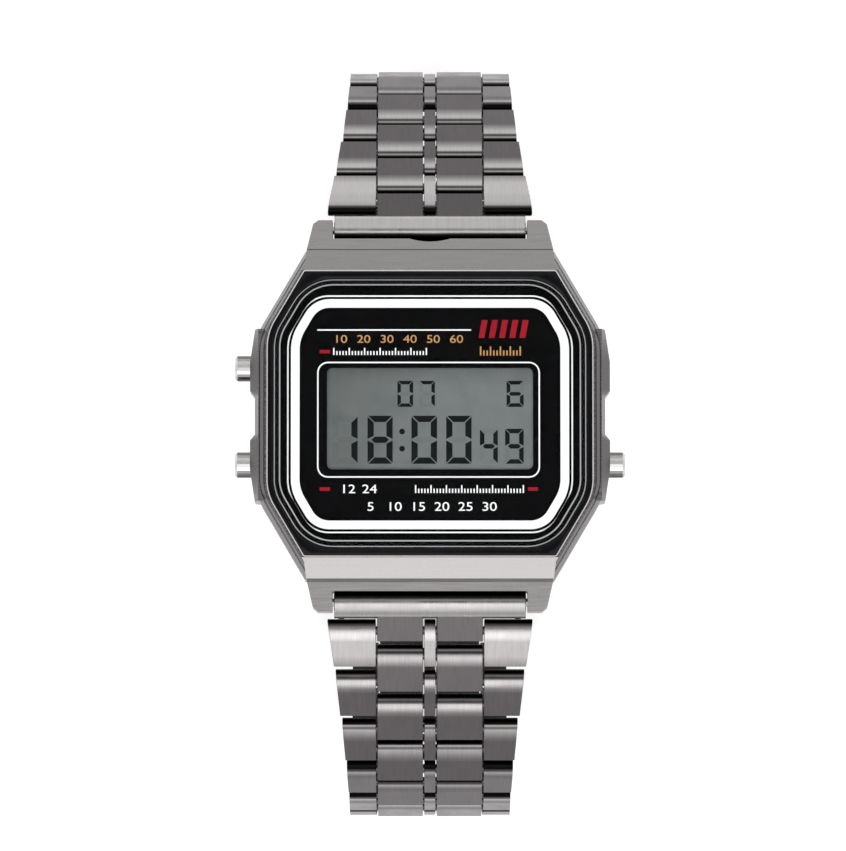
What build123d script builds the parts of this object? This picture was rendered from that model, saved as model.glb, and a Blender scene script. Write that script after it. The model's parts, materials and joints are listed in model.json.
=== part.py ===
from build123d import *
import os
from math import cos, radians, sin

# Digital wristwatch with an eight-sided case on a five-piece link bracelet.
# Millimetres. +Z points out of the dial, +Y to 12 o'clock, +X to 3 o'clock.
# The origin is the middle of the case back's outer face. The bracelet is
# closed, and its loop hangs below the case down to the fold-over clasp.

os.makedirs("parts", exist_ok=True)

# Bezel edge, the outline that every other plan of the case is set in from
bezel_half_width = 15.15
bezel_half_length = 13.33
bezel_diagonal = 16.85
diagonal_angle = 30.5
bezel_corner_radius = 5.0
pick_margin = 0.001

# Sides of small round pieces, which are drawn with flats: link pins, pins, collars, caps and discs
link_pin_sides = 4
pin_sides = 6
collar_sides = 10
cap_sides = 24
disc_sides = 30

# Case middle: what stands outside the bezel edge, and the heights
case_flank = 1.12
diagonal_flank = 0.87
shoulder_step = 0.33
groove_step = 0.08
rim_wall = 0.16
foot_inset = 0.5
back_proud = 0.5
foot_height = 0.8
belt_height = 3.6
shoulder_height = 1.1
groove_height = 0.12
bevel_height = 0.78
rim_height = 0.3

# Lugs
crease_run = 1.96
crease_drop = 0.4
lug_reach = 2.95
crease_half_width = 11.45
lug_tip_half_width = 10.78
lug_slope_angle = 30.0
lug_underside_rise = 1.9
notch_half_width = 9.05
notch_depth = 1.84
lug_corner_cut = 0.4
tool_notch_half_width = 1.9
tool_notch_depth = 0.3
lug_hole_depth = 0.9
lug_hole_radius = 0.45

# Button guards on the case sides
guard_stand = 0.45
guard_inner_y = 1.75
guard_shoulder_y = 2.3
guard_flat_y = 5.0
guard_outer_y = 8.0
guard_root = 1.5

# Openings of the case
bezel_seat_depth = 0.8
mask_side_inset = 1.7
mask_end_inset = 1.75
mask_diagonal_inset = 1.3
cavity_side_inset = 2.2
cavity_end_inset = 2.2
cavity_diagonal_inset = 2.85
fit_gap = 0.05
loose_gap = 0.12

# Crystal and bezel frame
bezel_proud = 0.4
crystal_side_inset = 0.71
crystal_end_inset = 0.92
crystal_diagonal_inset = 0.72
crystal_corner_radius = 4.3
crystal_bevel = 0.55
crystal_bevel_height = 0.45
crystal_proud = 0.6

# Dial mask with its accent ring
mask_thickness = 0.2
ring_thickness = 0.1
ring_side_inset = 2.26
ring_end_inset = 2.63
ring_diagonal_inset = 2.11
ring_band = 0.8
ring_corner_radius = 4.0
window_width = 19.1
window_height = 9.45
window_shift = 0.42
window_corner_radius = 0.5

# Display and module
lcd_width = 21.5
lcd_height = 12.4
lcd_thickness = 1.1
strip_height = 0.9
strip_depth = 1.3
strip_length = 20.0
board_thickness = 0.7
board_half_width = 11.2
board_half_length = 8.2
lamp_width = 0.9
lamp_length = 1.6
lamp_height = 0.8
battery_radius = 8.9
battery_thickness = 1.6
battery_clip_thickness = 0.15
battery_clip_width = 5.0
module_base_height = 0.45
buzzer_radius = 7.0
buzzer_thickness = 0.2

# Case back, its gasket and screws
back_thickness = 1.0
back_inset = 0.55
gasket_inset = 0.1
gasket_width = 0.4
gasket_height = 0.5
screw_inset = 1.55
screw_x = 11.6
screw_radius = 0.4
screw_head_radius = 0.75
screw_head_height = 0.4
screw_sink = 0.12
screw_length = 2.6

# Push-buttons
button_height = 3.4
button_y = 4.5
button_head_radius = 1.2
button_head_length = 2.15
button_stand = 1.4
button_chamfer = 0.2
button_shaft_radius = 0.55
button_shaft_length = 3.45
button_travel = 0.6
recess_gap = 0.1
spring_length = 1.05
spring_radius = 1.05
spring_wall = 0.3
seal_radius = 0.85
seal_length = 0.55
clip_radius = 0.95
clip_thickness = 0.2
clip_end = 0.2
contact_room = 0.3

# Spring bars and end pieces
bar_height = 4.1
bar_inset = 0.89
bar_radius = 0.75
bar_tip_radius = 0.4
barrel_radius = 1.05
barrel_stretch = 0.45
barrel_end_gap = 0.15
end_piece_span = 2.75
end_piece_slope = 23.6

# Bracelet links: five pieces to a row, two wide, two sides and a centre
pin_spacing = 2.5
pin_radius = 0.4
pin_play = 0.05
link_end_radius = 1.1
link_half_thickness = 0.8
link_nose_length = 1.8
centre_half_width = 0.525
wide_width = 4.25
side_play = 0.13
pin_end_cover = 0.35

# Side view of a link from the top of its nose round the inner face to the outer face's far edge. Along
# the nose: share of its length, less share of the end radius. Third: share of the half thickness.
nose_shares = ((1.0, 0.95, 1.0), (0.35, 0.95, 0.76), (0.0, 0.95, -0.05), (0.0, 0.57, -1.0))
far_end_shares = ((0.66, -1.0), (0.75, 1.0))
# A centre piece keeps this many corners of the nose and then is round about its first pin for this turn
nose_top_corners = 2
centre_nose_radius = 1.04
centre_nose_turn = 16.0

# Full widths of each row at its edge nearer the case and at its far edge
first_row_widths = (19.1, 17.8)
second_row_widths = (17.6, 16.7)
third_row_widths = (16.4, 15.8)
fourth_row_widths = (15.6, 15.3)
strap_width = 15.2

# How steeply each row falls away from the level of the dial, in degrees
upper_slopes = (42.5, 44.0, 48.0, 62.0, 75.5, 88.5, 91.1, 98.1, 111.0, 128.3, 147.4, 165.6)
lower_slopes = (24.4, 29.6, 43.9, 63.5, 78.5, 91.0, 93.8, 100.0, 109.9, 122.9, 137.7, 153.1, 167.7)
tail_slope = 180.0
tail_rows = 6

# Clasp: slider base on the straight tail, lock plate, blade and cover
slider_gap = 0.1
slider_side_gap = 0.2
slider_wall = 0.6
slider_side_wall = 0.5
slider_length = 10.0
slider_setback = 0.8
hinge_set_in = 4.15
knuckle_radius = 0.7
knuckle_drop = 0.13
knuckle_width = 2.6
clasp_pin_radius = 0.35
blade_length = 23.7
blade_thickness = 0.7
blade_gap = 0.18
blade_half_width = 7.6
blade_barrel_radius = 0.6
blade_barrel_lift = 0.1
cover_gap = 0.2
cover_thickness = 0.8
cover_wall = 0.55
cover_side_gap = 0.2
cover_wall_height = 2.75
cover_end_set_in = 1.85
cover_hinge_set_in = 0.8
ear_radius = 1.0
lock_half_width = 5.0
lock_length = 7.0
lock_thickness = 0.5
lock_hinge_set_in = 1.0
lock_hinge_radius = 0.5
lock_pin_radius = 0.25
lock_ear_width = 0.8
nib_length = 0.8
nib_set_in = 1.6
nib_clear = 0.06

# Levels of the case, from the back up
case_bottom = back_proud
belt_base = case_bottom + foot_height
belt_top = belt_base + belt_height
shoulder_top = belt_top + shoulder_height
bevel_base = shoulder_top + groove_height
bevel_top = bevel_base + bevel_height
band_top = bevel_top + rim_height
seat_z = band_top - bezel_seat_depth
mask_top = seat_z - ring_thickness
mask_base = mask_top - mask_thickness
bezel_top = band_top + bezel_proud
crystal_top = bezel_top + crystal_proud
lcd_base = mask_base - lcd_thickness
board_top = lcd_base - strip_height
board_base = board_top - board_thickness
battery_base = board_base - battery_thickness

# Places that several pieces share
crease_y = bezel_half_length + crease_run
lug_tip_y = crease_y + lug_reach
bar_y = lug_tip_y - bar_inset
case_half_width = bezel_half_width + case_flank
cavity_half_width = bezel_half_width - cavity_side_inset
guard_x = case_half_width + guard_stand
button_tip_x = guard_x + button_stand
head_inner_x = button_tip_x - button_head_length
recess_x = head_inner_x - spring_length
recess_radius = button_head_radius + recess_gap
shaft_end_x = head_inner_x - button_shaft_length
row_pitch = 2 * pin_spacing
wide_inner_x = centre_half_width + side_play
wide_outer_x = wide_inner_x + wide_width
side_inner_x = wide_outer_x + side_play
link_depth = 2 * link_half_thickness


def outline(side_inset, end_inset, diagonal_inset, side_radius=0.0, end_radius=0.0):
    """Eight-sided plan, set in from the bezel edge on its sides, ends and diagonals."""
    half_width = bezel_half_width - side_inset
    half_length = bezel_half_length - end_inset
    reach = bezel_diagonal - diagonal_inset
    angle = radians(diagonal_angle)
    side_y = (reach - half_width * cos(angle)) / sin(angle)
    end_x = (reach - half_length * sin(angle)) / cos(angle)
    quarter = [(half_width, side_y), (end_x, half_length)]
    left = [(-x, y) for x, y in reversed(quarter)]
    lower = [(x, -y) for x, y in reversed(quarter + left)]
    plan = Polygon(*(quarter + left + lower), align=None)
    if side_radius > 0:
        corners = plan.vertices().filter_by(lambda v: abs(abs(v.X) - half_width) < pick_margin)
        plan = fillet(corners, side_radius)
    if end_radius > 0:
        corners = plan.vertices().filter_by(
            lambda v: abs(abs(v.Y) - half_length) < pick_margin and abs(abs(v.X) - end_x) < pick_margin
        )
        plan = fillet(corners, end_radius)
    return plan


def case_outline(stand, diagonal_stand):
    """Plan of the case standing outside the bezel edge, with its ends at the crease."""
    return outline(-stand, -crease_run, -diagonal_stand, bezel_corner_radius + stand)


def prism(plan, low, high):
    """Upright solid of a plan between two levels."""
    return extrude(Pos(0, 0, low) * plan, high - low)


def frustum(low_plan, low, high_plan, high):
    """Ruled solid between two plans at two levels."""
    return loft([Pos(0, 0, low) * low_plan, Pos(0, 0, high) * high_plan], ruled=True)


def cross_cylinder(radius, x_low, x_high, y, z):
    """Cylinder along X between two planes."""
    return Pos(x_low, y, z) * extrude(Plane.YZ * Circle(radius), x_high - x_low)


def cross_rod(radius, x_low, x_high, y, z, sides=pin_sides):
    """Rod with flats along X, inside its circle, so that it turns in a bore."""
    return Pos(x_low, y, z) * extrude(Plane.YZ * RegularPolygon(radius, sides), x_high - x_low)


def cross_bore(radius, x_low, x_high, y, z, sides=pin_sides):
    """Bore with flats along X, outside its circle, so that a rod turns in it."""
    plan = RegularPolygon(radius, sides, major_radius=False)
    return Pos(x_low, y, z) * extrude(Plane.YZ * plan, x_high - x_low)


def upright_rod(radius, low, high, sides):
    """Rod with flats along Z, inside its circle, on the middle of the case."""
    return prism(RegularPolygon(radius, sides), low, high)


def upright_bore(radius, low, high, sides):
    """Bore with flats along Z, outside its circle, on the middle of the case."""
    return prism(RegularPolygon(radius, sides, major_radius=False), low, high)


def block(x_low, x_high, y_low, y_high, z_low, z_high):
    """Box between six planes."""
    size = (x_high - x_low, y_high - y_low, z_high - z_low)
    corner = (Align.MIN, Align.MIN, Align.MIN)
    return Pos(x_low, y_low, z_low) * Box(*size, align=corner)


def both_sides(solid):
    """A solid and its mirror image across the middle plane of the watch."""
    return solid + mirror(solid, about=Plane.YZ)


def group(solids):
    """Separate solids of one node, side by side."""
    return Compound(children=list(solids))


def save(name, shape):
    """Write one piece of the watch."""
    export_step(shape, "parts/" + name + ".step")


# Case

def lug_plan():
    """Both lugs of one end with the band between them, before the notch is cut."""
    angle = radians(diagonal_angle)
    band_x = (bezel_diagonal - bezel_half_length * sin(angle)) / cos(angle)
    right = [(band_x, 0.0), (band_x, bezel_half_length), (crease_half_width, crease_y)]
    right.append((lug_tip_half_width, lug_tip_y))
    left = [(-x, y) for x, y in reversed(right)]
    plan = Polygon(*(right + left), align=None)
    tips = plan.vertices().filter_by(lambda v: abs(v.Y - lug_tip_y) < pick_margin)
    return chamfer(tips, lug_corner_cut)


def lug_wedges():
    """What the sloping upper and lower faces of one end take off."""
    run = lug_reach + case_flank
    fall = run * sin(radians(lug_slope_angle)) / cos(radians(lug_slope_angle))
    crease_z = band_top - crease_drop
    upper = Polygon(
        (bezel_half_length, band_top), (crease_y, crease_z), (crease_y + run, crease_z - fall),
        (crease_y + run, band_top + fall), (bezel_half_length, band_top + fall), align=None,
    )
    lower = Polygon(
        (bezel_half_length, case_bottom - fit_gap), (crease_y + run, case_bottom - fit_gap),
        (crease_y + run, case_bottom + lug_underside_rise), (lug_tip_y, case_bottom + lug_underside_rise),
        align=None,
    )
    width = 2 * case_half_width
    return [Pos(-case_half_width, 0, 0) * extrude(Plane.YZ * face, width) for face in (upper, lower)]


def lug_notch():
    """Slot between the lugs for the end piece, hollowed round its barrel, with the bar's holes."""
    floor_y = lug_tip_y - notch_depth
    slot = block(-notch_half_width, notch_half_width, floor_y, lug_tip_y + notch_depth, 0, crystal_top)
    hollow = cross_cylinder(barrel_radius + loose_gap, -notch_half_width, notch_half_width, bar_y, bar_height)
    hole_end = notch_half_width + lug_hole_depth
    holes = cross_bore(lug_hole_radius, -hole_end, hole_end, bar_y, bar_height)
    return [slot, hollow, holes]


def tool_notch():
    """Shallow hollow in the floor of the notch at 12 o'clock, for the tool that takes out the spring bar."""
    chord = tool_notch_half_width
    radius = (chord * chord + tool_notch_depth * tool_notch_depth) / (2 * tool_notch_depth)
    floor_y = lug_tip_y - notch_depth
    return prism(Pos(0, floor_y - tool_notch_depth + radius) * Circle(radius), 0, crystal_top)


def guards():
    """Raised pads on the case side beside and behind the buttons."""
    root_x = case_half_width - guard_root
    plan = Polygon(
        (root_x, guard_inner_y), (case_half_width, guard_inner_y), (guard_x, guard_shoulder_y),
        (guard_x, guard_flat_y), (case_half_width, guard_outer_y), (root_x, guard_outer_y), align=None,
    )
    high = Polygon(
        (root_x, guard_inner_y), (case_half_width - shoulder_step, guard_inner_y),
        (case_half_width - shoulder_step, guard_shoulder_y), (case_half_width - shoulder_step, guard_flat_y),
        (case_half_width - shoulder_step, guard_outer_y), (root_x, guard_outer_y), align=None,
    )
    low_belt = Pos(-foot_inset, 0, 0) * plan
    pad = frustum(low_belt, case_bottom, plan, belt_base)
    pad += prism(plan, belt_base, belt_top)
    pad += frustum(plan, belt_top, high, shoulder_top)
    pair = pad + mirror(pad, about=Plane.XZ)
    return both_sides(pair)


def button_places():
    """Side and place of each button: 10, 8 and 4 o'clock."""
    return {"button_light": (-1, button_y), "button_mode": (-1, -button_y), "button_start": (1, -button_y)}


def button_holes(side, y):
    """Recess for a button's head, bore for its shaft and pocket for its seal."""
    recess = cross_bore(recess_radius, recess_x, button_tip_x, y, button_height, cap_sides)
    bore = cross_bore(button_shaft_radius + fit_gap, cavity_half_width - fit_gap, recess_x + fit_gap,
                      y, button_height)
    pocket = cross_bore(seal_radius + fit_gap, cavity_half_width - fit_gap, seal_x(), y, button_height,
                        collar_sides)
    holes = [recess, bore, pocket]
    return [hole if side > 0 else mirror(hole, about=Plane.YZ) for hole in holes]


def seal_x():
    """Inner end of the wall that a button's seal lies against."""
    return cavity_half_width + seal_length + fit_gap


def cavity_outline(grow):
    """Plan of the module's room, made larger by a margin."""
    return outline(cavity_side_inset - grow, cavity_end_inset - grow, cavity_diagonal_inset - grow)


def screw_places():
    """Centres of the four screws of the case back, on its diagonals."""
    angle = radians(diagonal_angle)
    screw_y = (bezel_diagonal - screw_inset - screw_x * cos(angle)) / sin(angle)
    return [(x, y) for x in (-screw_x, screw_x) for y in (-screw_y, screw_y)]


def case_middle():
    shoulder = case_flank - shoulder_step
    groove = shoulder - groove_step
    diagonal_shoulder = diagonal_flank - shoulder_step
    diagonal_groove = diagonal_shoulder - groove_step
    belt = case_outline(case_flank, diagonal_flank)
    foot = case_outline(case_flank - foot_inset, diagonal_flank - foot_inset)
    shell = frustum(foot, case_bottom, belt, belt_base)
    shell += prism(belt, belt_base, belt_top)
    shell += frustum(belt, belt_top, case_outline(shoulder, diagonal_shoulder), shoulder_top)
    shell += prism(case_outline(groove, diagonal_groove), shoulder_top, bevel_base)
    rim = case_outline(rim_wall, rim_wall)
    shell += frustum(case_outline(groove, diagonal_groove), bevel_base, rim, bevel_top)
    shell += prism(rim, bevel_top, band_top)
    shell += guards()
    for end in (1, -1):
        lugs = prism(lug_plan(), case_bottom, band_top)
        shell += lugs if end > 0 else mirror(lugs, about=Plane.XZ)
        for cut in lug_wedges() + lug_notch():
            shell -= cut if end > 0 else mirror(cut, about=Plane.XZ)
    shell -= tool_notch()
    shell -= prism(outline(0.0, 0.0, 0.0, bezel_corner_radius), seat_z, crystal_top)
    shell -= prism(outline(mask_side_inset, mask_end_inset, mask_diagonal_inset), mask_base, crystal_top)
    shell -= prism(cavity_outline(0.0), 0, crystal_top)
    plate_room = back_inset - fit_gap
    shell -= prism(outline(plate_room, plate_room, plate_room), 0, back_thickness)
    groove_plan = cavity_outline(gasket_inset + gasket_width)
    shell -= prism(groove_plan, back_thickness, back_thickness + gasket_height)
    for side, y in button_places().values():
        for hole in button_holes(side, y):
            shell -= hole
    screw_end = screw_sink + screw_length + fit_gap
    for x, y in screw_places():
        shell -= Pos(x, y, 0) * upright_bore(screw_radius + fit_gap / 2, 0, screw_end, pin_sides)
    return shell


def crystal_outline(inset):
    """Plan of the crystal, set in by a margin."""
    return outline(crystal_side_inset + inset, crystal_end_inset + inset, crystal_diagonal_inset + inset,
                   crystal_corner_radius - inset, crystal_corner_radius - inset)


def bezel_frame():
    frame = prism(outline(fit_gap, fit_gap, fit_gap, bezel_corner_radius - fit_gap), seat_z, bezel_top)
    return frame - prism(crystal_outline(-fit_gap), 0, crystal_top)


def crystal():
    bevel_base_z = crystal_top - crystal_bevel_height
    wall = prism(crystal_outline(0.0), seat_z, bevel_base_z)
    return wall + frustum(crystal_outline(0.0), bevel_base_z, crystal_outline(crystal_bevel), crystal_top)


def ring_outline(inset):
    """Plan of the accent ring's outer edge, set in by a margin."""
    return outline(ring_side_inset + inset, ring_end_inset + inset, ring_diagonal_inset + inset,
                   ring_corner_radius - inset, ring_corner_radius - inset)


def accent_ring():
    return prism(ring_outline(0.0) - ring_outline(ring_band), mask_top, seat_z)


def dial_mask():
    plate = prism(outline(mask_side_inset + fit_gap, mask_end_inset + fit_gap, mask_diagonal_inset + fit_gap),
                  mask_base, mask_top)
    window = Pos(0, -window_shift) * RectangleRounded(window_width, window_height, window_corner_radius)
    return plate - prism(window, 0, crystal_top)


def lcd_panel():
    plan = Pos(0, -window_shift) * Rectangle(lcd_width, lcd_height)
    return prism(plan, lcd_base, mask_base)


def strip_places():
    """Middle of each contact strip, under the long edges of the display."""
    offset = lcd_height / 2 - strip_depth / 2
    return [-window_shift - offset, -window_shift + offset]


def contact_strips():
    solids = []
    for y in strip_places():
        solids.append(prism(Pos(0, y) * Rectangle(strip_length, strip_depth), board_top, lcd_base).solid())
    return group(solids)


def lamp_x():
    """Left end of the lamp, beside the display."""
    return -lcd_width / 2 - fit_gap - lamp_width


def led_lamp():
    half = lamp_length / 2
    return block(lamp_x(), lamp_x() + lamp_width, -half - window_shift, half - window_shift,
                 lcd_base, lcd_base + lamp_height)


def module_frame():
    base_z = back_thickness + module_base_height
    frame = prism(cavity_outline(-loose_gap), base_z, mask_base)
    display_room = Pos(0, -window_shift) * Rectangle(lcd_width + 2 * fit_gap, lcd_height + 2 * fit_gap)
    frame -= prism(display_room, lcd_base, crystal_top)
    for y in strip_places():
        room = Rectangle(strip_length + 2 * fit_gap, strip_depth + 2 * fit_gap)
        frame -= prism(Pos(0, y) * room, board_top, crystal_top)
    board_room = Rectangle(2 * (board_half_width + fit_gap), 2 * (board_half_length + fit_gap))
    frame -= prism(board_room, 0, board_top)
    frame -= upright_bore(battery_radius + loose_gap, 0, board_base, disc_sides)
    half = lamp_length / 2 + fit_gap
    frame -= block(lamp_x() - fit_gap, lamp_x() + lamp_width + 2 * fit_gap, -half - window_shift,
                   half - window_shift, lcd_base, crystal_top)
    inner_x = shaft_end_x - button_travel - contact_room
    reach = clip_radius + contact_room
    for side, y in button_places().values():
        room = block(inner_x, case_half_width, y - reach, y + reach, 0, button_height + reach)
        frame -= room if side > 0 else mirror(room, about=Plane.YZ)
    return frame


def circuit_board():
    return prism(Rectangle(2 * board_half_width, 2 * board_half_length), board_base, board_top)


def battery():
    return upright_rod(battery_radius, battery_base, board_base, disc_sides)


def battery_clip():
    """Strap under the battery, with a leg at each end up to the board."""
    half_length = battery_radius + battery_clip_thickness + fit_gap
    half_width = battery_clip_width / 2
    base_z = battery_base - battery_clip_thickness
    strap = block(-half_length, half_length, -half_width, half_width, base_z, battery_base)
    leg_x = half_length - battery_clip_thickness
    leg = block(leg_x, half_length, -half_width, half_width, base_z, board_base)
    return strap + both_sides(leg)


def buzzer():
    return upright_rod(buzzer_radius, back_thickness, back_thickness + buzzer_thickness, disc_sides)


def back_gasket():
    inner = gasket_inset
    outer = gasket_inset + gasket_width - fit_gap
    ring = cavity_outline(outer) - cavity_outline(inner)
    return prism(ring, back_thickness, back_thickness + gasket_height)


def case_back():
    plate = prism(outline(back_inset, back_inset, back_inset), 0, back_thickness)
    for x, y in screw_places():
        sink = upright_bore(screw_head_radius + fit_gap, 0, screw_sink + screw_head_height, collar_sides)
        hole = upright_bore(screw_radius + fit_gap, 0, back_thickness, pin_sides)
        plate -= Pos(x, y, 0) * (sink + hole)
    return plate


def back_screws():
    solids = []
    head = upright_rod(screw_head_radius, screw_sink, screw_sink + screw_head_height, collar_sides)
    shank = upright_rod(screw_radius, screw_sink, screw_sink + screw_length, pin_sides)
    for x, y in screw_places():
        solids.append(Pos(x, y, 0) * (head + shank).solid())
    return group(solids)


# Push-buttons

def button(side, y):
    """Head and shaft in one, and the clip that keeps the shaft in the case."""
    head = cross_rod(button_head_radius, head_inner_x, button_tip_x, y, button_height, cap_sides)
    rim = head.faces().sort_by(Axis.X)[-1].edges()
    head = chamfer(rim, button_chamfer)
    shaft = cross_rod(button_shaft_radius, shaft_end_x, head_inner_x, y, button_height)
    clip_x = shaft_end_x + clip_end
    clip = cross_rod(clip_radius, clip_x, clip_x + clip_thickness, y, button_height, collar_sides)
    clip -= cross_rod(button_shaft_radius, clip_x, clip_x + clip_thickness, y, button_height)
    solids = [(head + shaft).solid(), clip.solid()]
    return group([part if side > 0 else mirror(part, about=Plane.YZ) for part in solids])


def button_spring(side, y):
    sleeve = cross_rod(spring_radius, recess_x, head_inner_x, y, button_height, collar_sides)
    sleeve -= cross_rod(spring_radius - spring_wall, recess_x, head_inner_x, y, button_height, collar_sides)
    return sleeve if side > 0 else mirror(sleeve, about=Plane.YZ)


def button_seals():
    solids = []
    for side, y in button_places().values():
        low = seal_x() - seal_length
        ring = cross_rod(seal_radius, low, seal_x(), y, button_height, collar_sides)
        ring -= cross_bore(button_shaft_radius + fit_gap, low, seal_x(), y, button_height)
        solids.append((ring if side > 0 else mirror(ring, about=Plane.YZ)).solid())
    return group(solids)


# Bracelet

def strand(slopes, side):
    """Pins of one strand of the bracelet, as (y, z), from the case to the far end of its last row."""
    angle = radians(end_piece_slope)
    y = bar_y + end_piece_span * cos(angle)
    z = bar_height - end_piece_span * sin(angle)
    pins = []
    for slope in slopes:
        pins.append((side * y, z))
        y += row_pitch * cos(radians(slope))
        z -= row_pitch * sin(radians(slope))
    pins.append((side * y, z))
    return pins


def strand_place(y, z, slope, side):
    """Place of a link: its own Y runs down the strand from a pin, its own Z faces outwards."""
    turn = radians(slope)
    plane = Plane(origin=(0, y, z), x_dir=(side, 0, 0), z_dir=(0, side * sin(turn), cos(turn)))
    return plane.location


def nose_corners():
    """Corners of a link's nose, which faces the case, from its outer face to its inner one."""
    return [(link_nose_length * y_share - link_end_radius * start_share, link_half_thickness * z_share)
            for y_share, start_share, z_share in nose_shares]


def far_corners(span):
    """Corners of a link's blunt far end, from its inner face to its outer one."""
    return [(span + link_end_radius * y_share, link_half_thickness * z_share)
            for y_share, z_share in far_end_shares]


def link_profile(span):
    """Side view of a link over two pins: a rounded nose towards the case and a blunt far end."""
    return Polygon(*(nose_corners() + far_corners(span)), align=None)


def centre_profile():
    """Side view of a centre piece, whose inner side is round about the row's first pin."""
    radius = centre_nose_radius
    turn = radians(centre_nose_turn)
    corners = nose_corners()
    start = (-radius, 0)
    middle = (-radius * cos(turn / 2), -radius * sin(turn / 2))
    end = (-radius * cos(turn), -radius * sin(turn))
    lines = Polyline(end, corners[-1], *far_corners(pin_spacing), *corners[:nose_top_corners], start)
    return make_face(lines + ThreePointArc(start, middle, end))


def bar_of(profile, x_low, x_high):
    """A link's side view made solid between two planes."""
    return Pos(x_low, 0, 0) * extrude(Plane.YZ * profile, x_high - x_low)


def side_pieces(profile, near_width, far_width):
    """Both outer pieces of a row, narrower towards the far edge."""
    piece = bar_of(profile, side_inner_x, near_width / 2)
    if near_width > far_width:
        near_y = -link_end_radius
        far_y = pin_spacing + link_end_radius
        plan = Polygon((0, near_y), (near_width / 2, near_y), (far_width / 2, far_y), (0, far_y), align=None)
        piece &= prism(plan, -link_depth, link_depth)
    return both_sides(piece)


def wide_pieces(near_pin, bored):
    """The two wide pieces that start at a given pin, with bores for the two pins they turn on."""
    piece = Pos(0, near_pin, 0) * bar_of(link_profile(pin_spacing), wide_inner_x, wide_outer_x)
    if bored:
        for y in (near_pin, near_pin + pin_spacing):
            piece -= cross_bore(pin_radius + pin_play, 0, side_inner_x, y, 0, link_pin_sides)
    return piece


def row_widths(index):
    """Near and far width of a row, counted from the case."""
    tapered = (first_row_widths, second_row_widths, third_row_widths, fourth_row_widths)
    return tapered[index] if index < len(tapered) else (strap_width, strap_width)


def carrier(near_width, far_width):
    """Side pieces and centre piece of a row, held on the row's two pins."""
    profile = link_profile(pin_spacing)
    body = side_pieces(profile, near_width, far_width)
    body += bar_of(centre_profile(), -centre_half_width, centre_half_width)
    pin_end = far_width / 2 - pin_end_cover
    for y in (0, pin_spacing):
        body += cross_rod(pin_radius, -pin_end, pin_end, y, 0, link_pin_sides)
    return body


def bracelet_row(index):
    """One row: its carrier and the two wide pieces on the carrier's second pin."""
    wide = wide_pieces(pin_spacing, True)
    return [carrier(*row_widths(index)).solid(), wide.solid(), mirror(wide, about=Plane.YZ).solid()]


def tail():
    """Straight end of the bracelet that runs through the clasp's slider, its rows held fast on their pins."""
    row = carrier(strap_width, strap_width) + both_sides(wide_pieces(pin_spacing, False))
    rows = row
    for index in range(1, tail_rows):
        rows += Pos(0, index * row_pitch, 0) * row
    return rows


def end_piece():
    """Barrel rolled round the spring bar, with two tongues that reach the first row's pin."""
    barrel_half = notch_half_width - barrel_end_gap
    roll = Pos(barrel_stretch / 2, 0) * SlotCenterToCenter(barrel_stretch, 2 * barrel_radius)
    barrel = bar_of(roll, -barrel_half, barrel_half)
    tongue = bar_of(link_profile(end_piece_span), wide_inner_x, wide_outer_x)
    tongue -= cross_bore(pin_radius + pin_play, 0, side_inner_x, end_piece_span, 0, link_pin_sides)
    body = barrel + both_sides(tongue)
    return body - cross_bore(bar_radius + pin_play, -notch_half_width, notch_half_width, 0, 0, collar_sides)


def spring_bar():
    """Tube with a sprung tip at each end that snaps into the lugs."""
    tube_end = notch_half_width - side_play
    tip_end = notch_half_width + lug_hole_depth - side_play
    tube = cross_rod(bar_radius, -tube_end, tube_end, 0, 0, collar_sides)
    return tube + cross_rod(bar_tip_radius, -tip_end, tip_end, 0, 0)


# Clasp

upper_pins = strand(upper_slopes, 1)
lower_pins = strand(lower_slopes, -1)
tail_start_y, tail_z = upper_pins[-1]
hook_y, hook_z = lower_pins[-1]

slider_half_width = strap_width / 2 + slider_side_gap
slider_outer_x = slider_half_width + slider_side_wall
slider_top = tail_z + link_half_thickness + slider_gap + slider_wall
slider_bottom = tail_z - link_half_thickness - slider_gap - slider_wall
blade_hinge_y = hook_y + hinge_set_in
blade_hinge_z = slider_bottom - knuckle_drop
slider_low_y = blade_hinge_y + slider_setback
slider_high_y = slider_low_y + slider_length
blade_top = slider_bottom - blade_gap
blade_base = blade_top - blade_thickness
cover_hinge_y = blade_hinge_y + blade_length
cover_hinge_z = (blade_top + blade_base) / 2 + blade_barrel_lift
cover_top = blade_base - cover_gap
cover_base = cover_top - cover_thickness
cover_inner_x = slider_outer_x + cover_side_gap
cover_outer_x = cover_inner_x + cover_wall
knuckle_inner_x = slider_outer_x - knuckle_width
lock_hinge_y = slider_high_y - lock_hinge_set_in
lock_hinge_z = slider_top + lock_hinge_radius


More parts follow.
